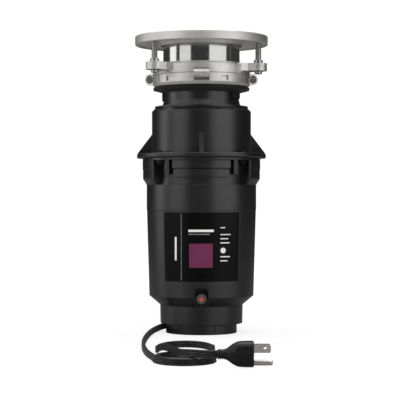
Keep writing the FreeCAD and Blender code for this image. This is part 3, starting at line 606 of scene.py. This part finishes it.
def make_plug_grip(y, low, high):
    """Three raised finger bars across each flank of the plug's upper lobe."""
    bar = Vector((0.7, 0.45, 3.4)) * MM
    bar_z = low.z + 15.3 * MM
    bars = bmesh.new()
    half = (high.y - low.y) / 2
    for side in (-1, 1):
        for index in range(3):
            x = low.x + (high.x - low.x) * (0.66 + 0.1 * index)
            made = bmesh.ops.create_icosphere(bars, subdivisions=3, radius=1.0)
            for vertex in made["verts"]:
                centre = Vector((x, y + side * half * 0.985, bar_z))
                vertex.co = centre + vertex.co * bar
    mesh = bpy.data.meshes.new("plug_grip")
    bars.to_mesh(mesh)
    bars.free()
    smooth(mesh)
    return piece("plug_grip", mesh, "unit", "plug_plastic")


cord = make_cord()
relief = make_strain_relief()
plug, plug_grip = make_plug()


# ---------------------------------------------------------------- mounting screws

THREAD_PITCH = 1.27 * MM
THREAD_DEPTH = 0.62 * MM
SHANK_R = 3.16 * MM
HEAD_HEIGHT = 3.1 * MM
TIP_TAPER = 0.5 * MM
TIP_LENGTH = 1.2 * MM


def threaded_screw(node):
    """Quarter-inch screw hanging head down: real helical thread, slotted button head."""
    low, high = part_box(node)
    x, y = (low.x + high.x) / 2, (low.y + high.y) / 2
    head_r = (high.x - low.x) / 2
    head_top = low.z + HEAD_HEIGHT
    around = 28
    rows_per_turn = 8
    rows = int((high.z - head_top) / THREAD_PITCH * rows_per_turn)
    made = bmesh.new()
    previous = None
    for row in range(rows + 1):
        loop = []
        for column in range(around):
            angle = TURN * column / around
            z = head_top + (high.z - head_top) * row / rows
            phase = ((z - head_top) / THREAD_PITCH - column / around) % 1.0
            flank = abs(2 * phase - 1)
            crest = min(1.0, flank * 1.5)
            full = min(1.0, (high.z - z) / TIP_LENGTH)
            radius = SHANK_R - THREAD_DEPTH * (1 - crest) - TIP_TAPER * (1 - full)
            loop.append(made.verts.new((x + radius * math.cos(angle),
                                        y + radius * math.sin(angle), z)))
        if previous:
            for column in range(around):
                after = (column + 1) % around
                made.faces.new((previous[column], previous[after], loop[after], loop[column]))
        else:
            made.faces.new(loop)
        previous = loop
    made.faces.new(list(reversed(previous)))
    add_slotted_head(made, x, y, low.z, head_top, head_r)
    mesh = bpy.data.meshes.new(node + "_threaded")
    bmesh.ops.recalc_face_normals(made, faces=made.faces)
    made.to_mesh(mesh)
    made.free()
    return mesh


def add_slotted_head(made, x, y, low, top, radius):
    """Rounded head with a driving slot across its underside, made of two halves and a web."""
    slot_half = 0.6 * MM
    slot_depth = 1.5 * MM
    steps = 18
    profile = ((low, 0.72), (low + 0.25 * MM, 0.88), (low + 0.8 * MM, 0.985),
               (low + slot_depth, 1.0), (top - 0.3 * MM, 1.0), (top, 0.95))
    for side in (-1, 1):
        loops = []
        for z, share in profile:
            edge = radius * share
            start = math.asin(slot_half / edge)
            angles = [start + (math.pi - 2 * start) * i / steps for i in range(steps + 1)]
            loops.append([
                made.verts.new((x + edge * math.cos(a), y + side * edge * math.sin(a), z))
                for a in angles
            ])
        for lower, upper in zip(loops, loops[1:]):
            for i in range(steps + 1):
                j = (i + 1) % (steps + 1)
                made.faces.new((lower[i], lower[j], upper[j], upper[i]))
        made.faces.new(loops[0])
        made.faces.new(list(reversed(loops[-1])))
    corners = [(-1, -1), (1, -1), (1, 1), (-1, 1)]
    reach = radius * 0.97
    web = []
    for z in (low + slot_depth, top - 0.05 * MM):
        web.append([made.verts.new((x + i * reach, y + j * slot_half * 1.02, z))
                    for i, j in corners])
    for i in range(4):
        j = (i + 1) % 4
        made.faces.new((web[0][i], web[0][j], web[1][j], web[1][i]))
    made.faces.new(web[0])
    made.faces.new(list(reversed(web[1])))


def make_mounting_screws():
    """A threaded screw on each screw's own body."""
    for side in ("left", "right", "rear"):
        node = "mounting_screw_" + side
        piece("threaded_screw_" + side, threaded_screw(node), "screw_" + side, "screw_steel",
              stands_for=(node,))


make_mounting_screws()


# ---------------------------------------------------------------- label marks

LABEL_LIFT = 0.08 * MM


def label_radius(z):
    """Distance of the label's face from the casing's axis, at a height."""
    mesh = NODES["label_plate"].data
    low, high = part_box("label_plate")
    ends = []
    for level in (low.z, high.z):
        ends.append(max(math.hypot(v.co.x, v.co.y) for v in mesh.vertices
                        if abs(v.co.z - level) < 0.5 * MM))
    return ends[0] + (ends[1] - ends[0]) * (z - low.z) / (high.z - low.z)


def wrapped_patch(name, outline, material):
    """Thin printed shape on the label. Its outline is (arc length to the right, height)."""
    low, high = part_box("label_plate")
    base_r = label_radius(low.z)
    slope = (label_radius(high.z) - base_r) / (high.z - low.z)
    made = bmesh.new()
    face = made.faces.new([made.verts.new((u, v, 0)) for u, v in outline])
    bmesh.ops.triangulate(made, faces=[face])
    for _ in range(3):
        bmesh.ops.subdivide_edges(made, edges=made.edges, cuts=1, use_grid_fill=True)
    for vertex in made.verts:
        u, v = vertex.co.x, vertex.co.y
        radius = base_r + slope * (v - low.z) + LABEL_LIFT
        azimuth = u / radius
        vertex.co = Vector((radius * math.sin(azimuth), -radius * math.cos(azimuth), v))
    mesh = bpy.data.meshes.new(name)
    bmesh.ops.recalc_face_normals(made, faces=made.faces)
    made.to_mesh(mesh)
    made.free()
    smooth(mesh)
    return piece(name, mesh, "unit", "label", material)


def rectangle(u, v, half_wide, half_tall, corner=0.0, steps=5):
    """Outline of a rectangle, with its corners rounded if corner is above 0."""
    if corner == 0:
        return [(u - half_wide, v - half_tall), (u + half_wide, v - half_tall),
                (u + half_wide, v + half_tall), (u - half_wide, v + half_tall)]
    outline = []
    for quarter, (i, j) in enumerate(((1, 1), (-1, 1), (-1, -1), (1, -1))):
        for step in range(steps + 1):
            angle = (quarter + step / steps) * math.pi / 2
            outline.append((u + i * (half_wide - corner) + corner * math.cos(angle),
                            v + j * (half_tall - corner) + corner * math.sin(angle)))
    return outline


def make_label_marks():
    """Plain bars and a plain tinted square in the places of the printed panel."""
    low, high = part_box("label_plate")
    tall = high.z - low.z

    def at(share):
        return low.z + tall * share

    wrapped_patch("label_square", rectangle(-0.6 * MM, at(0.376), 12.1 * MM, 12.2 * MM,
                                            0.5 * MM), LABEL_TINT)
    wrapped_patch("label_heading", rectangle(-0.4 * MM, at(0.735), 13 * MM, 1.2 * MM), LABEL_INK)
    wrapped_patch("label_subheading", rectangle(-2.4 * MM, at(0.685), 11 * MM, 0.5 * MM),
                  LABEL_GREY_INK)
    wrapped_patch("label_rule", rectangle(-21.0 * MM, at(0.5), 0.3 * MM, tall * 0.48),
                  LABEL_GREY_INK)
    wrapped_patch("label_side_bar", rectangle(-27.2 * MM, at(0.475), 1.1 * MM, 12 * MM,
                                              0.5 * MM), LABEL_INK)
    lines = ((0.78, 2.6), (0.68, 5.8), (0.62, 4.4), (0.56, 5.2), (0.36, 5.4), (0.3, 4.0))
    lines_left = 19.5 * MM
    for row, (share, half_wide) in enumerate(lines):
        half_wide *= MM
        wrapped_patch(f"label_line_{row}", rectangle(lines_left + half_wide, at(share),
                                                     half_wide, 0.55 * MM), LABEL_INK)
    wrapped_patch("label_dot", rectangle(22.6 * MM, at(0.45), 2.9 * MM, 2.9 * MM, 2.8 * MM),
                  LABEL_INK)


make_label_marks()


# ---------------------------------------------------------------- floor, light and world

FLOOR_HALF = 12
# The floor's glow for the camera; the lower glow near the object is painted shade round its base.
NEAR_GLOW_AND_PAINTED_SHADE, FAR_GLOW = 0.78, 1.0
GLOW_FROM, GLOW_TO = 0.1, 1.3


def make_floor():
    """Pale floor that glows for the camera: fully far off, so that it meets a white background, and
    less near the object, which paints a soft shade round its base besides the real shadows.
    """
    made = bmesh.new()
    bmesh.ops.create_grid(made, x_segments=24, y_segments=24, size=FLOOR_HALF)
    mesh = bpy.data.meshes.new("floor")
    made.to_mesh(mesh)
    made.free()
    floor = bpy.data.objects.new("floor", mesh)
    scene.collection.objects.link(floor)
    s = Surface("pale floor")
    tone = s.ramp(s.noise(3, 3), [(0.3, (0.27, 0.27, 0.27)), (0.7, (0.29, 0.29, 0.29))])
    length = s.add("ShaderNodeVectorMath", operation="LENGTH")
    s.link(s.place, length.inputs[0])
    # Less glow near the object: painted shade round its base.
    far = s.add("ShaderNodeMapRange", interpolation_type="SMOOTHSTEP")
    far.inputs["From Min"].default_value = GLOW_FROM
    far.inputs["From Max"].default_value = GLOW_TO
    far.inputs["To Min"].default_value = NEAR_GLOW_AND_PAINTED_SHADE
    far.inputs["To Max"].default_value = FAR_GLOW
    s.link(length.outputs["Value"], far.inputs["Value"])
    seen = s.add("ShaderNodeLightPath").outputs["Is Camera Ray"]
    s.link(s.math("MULTIPLY", far.outputs["Result"], seen), s.shader.inputs["Emission Strength"])
    s.shader.inputs["Emission Color"].default_value = (1, 1, 1, 1)
    s.shader.inputs["Specular IOR Level"].default_value = 0.1
    s.link(tone, s.shader.inputs["Base Color"])
    s.link(s.spread(s.noise(5, 3), 0.7, 0.8), s.shader.inputs["Roughness"])
    mesh.materials.append(s.material)


MIDDLE = (0, 0, 0.16)
SIDE_DISTANCE = 1.2
SIDE_HEIGHT = 0.55
SIDE_TALL = 1.3


def soft_box(name, azimuth, distance, height, size, radiance, aim=MIDDLE):
    """Rectangular light at an azimuth from the front, towards +X, facing the object."""
    data = bpy.data.lights.new(name, "AREA")
    data.shape = "RECTANGLE"
    data.size, data.size_y = size
    data.energy = radiance * math.pi * size[0] * size[1]
    lamp = bpy.data.objects.new(name, data)
    scene.collection.objects.link(lamp)
    angle = math.radians(azimuth)
    lamp.location = (distance * math.sin(angle), -distance * math.cos(angle), height)
    toward = Vector(aim) - lamp.location
    lamp.rotation_euler = toward.to_track_quat("-Z", "Y").to_euler()
    lamp.visible_camera = False
    return lamp


def make_lights():
    """A wide box on each side, a strip beyond the left one, one high in front, one overhead.

    The front fill lights paint and print, and is kept out of reflections."""
    for name, azimuth, width, radiance in (
            ("left box", -51, 0.86, 0.86), ("left strip", -94, 0.6, 1.15),
            ("right box", 51, 1.3, 0.95)):
        soft_box(name, azimuth, SIDE_DISTANCE, SIDE_HEIGHT, (width, SIDE_TALL), radiance)
    fill = soft_box("front fill", 0, 1.4, 0.35, (0.5, 0.5), 12.0)
    fill.visible_glossy = False
    soft_box("front box", 0, 0.95, 1.25, (0.8, 0.45), 2.6)
    soft_box("top box", 180, 0.5, 1.9, (2.2, 1.5), 2.5, (0, 0.5, 0))


ROOM_STRENGTH = 0.045
BACKGROUND_STRENGTH = 1.05


def make_world():
    """White to the camera, and a dim room to the object, as a studio with soft boxes is."""
    world = bpy.data.worlds.new("studio")
    scene.world = world
    world.use_nodes = True
    nodes, links = world.node_tree.nodes, world.node_tree.links
    background = nodes["Background"]
    background.inputs["Color"].default_value = (1, 1, 1, 1)
    seen = nodes.new("ShaderNodeLightPath").outputs["Is Camera Ray"]
    strength = nodes.new("ShaderNodeMapRange")
    strength.inputs["To Min"].default_value = ROOM_STRENGTH
    strength.inputs["To Max"].default_value = BACKGROUND_STRENGTH
    links.new(seen, strength.inputs["Value"])
    links.new(strength.outputs["Result"], background.inputs["Strength"])


make_floor()
make_lights()
make_world()
scene.view_settings.view_transform = "Standard"
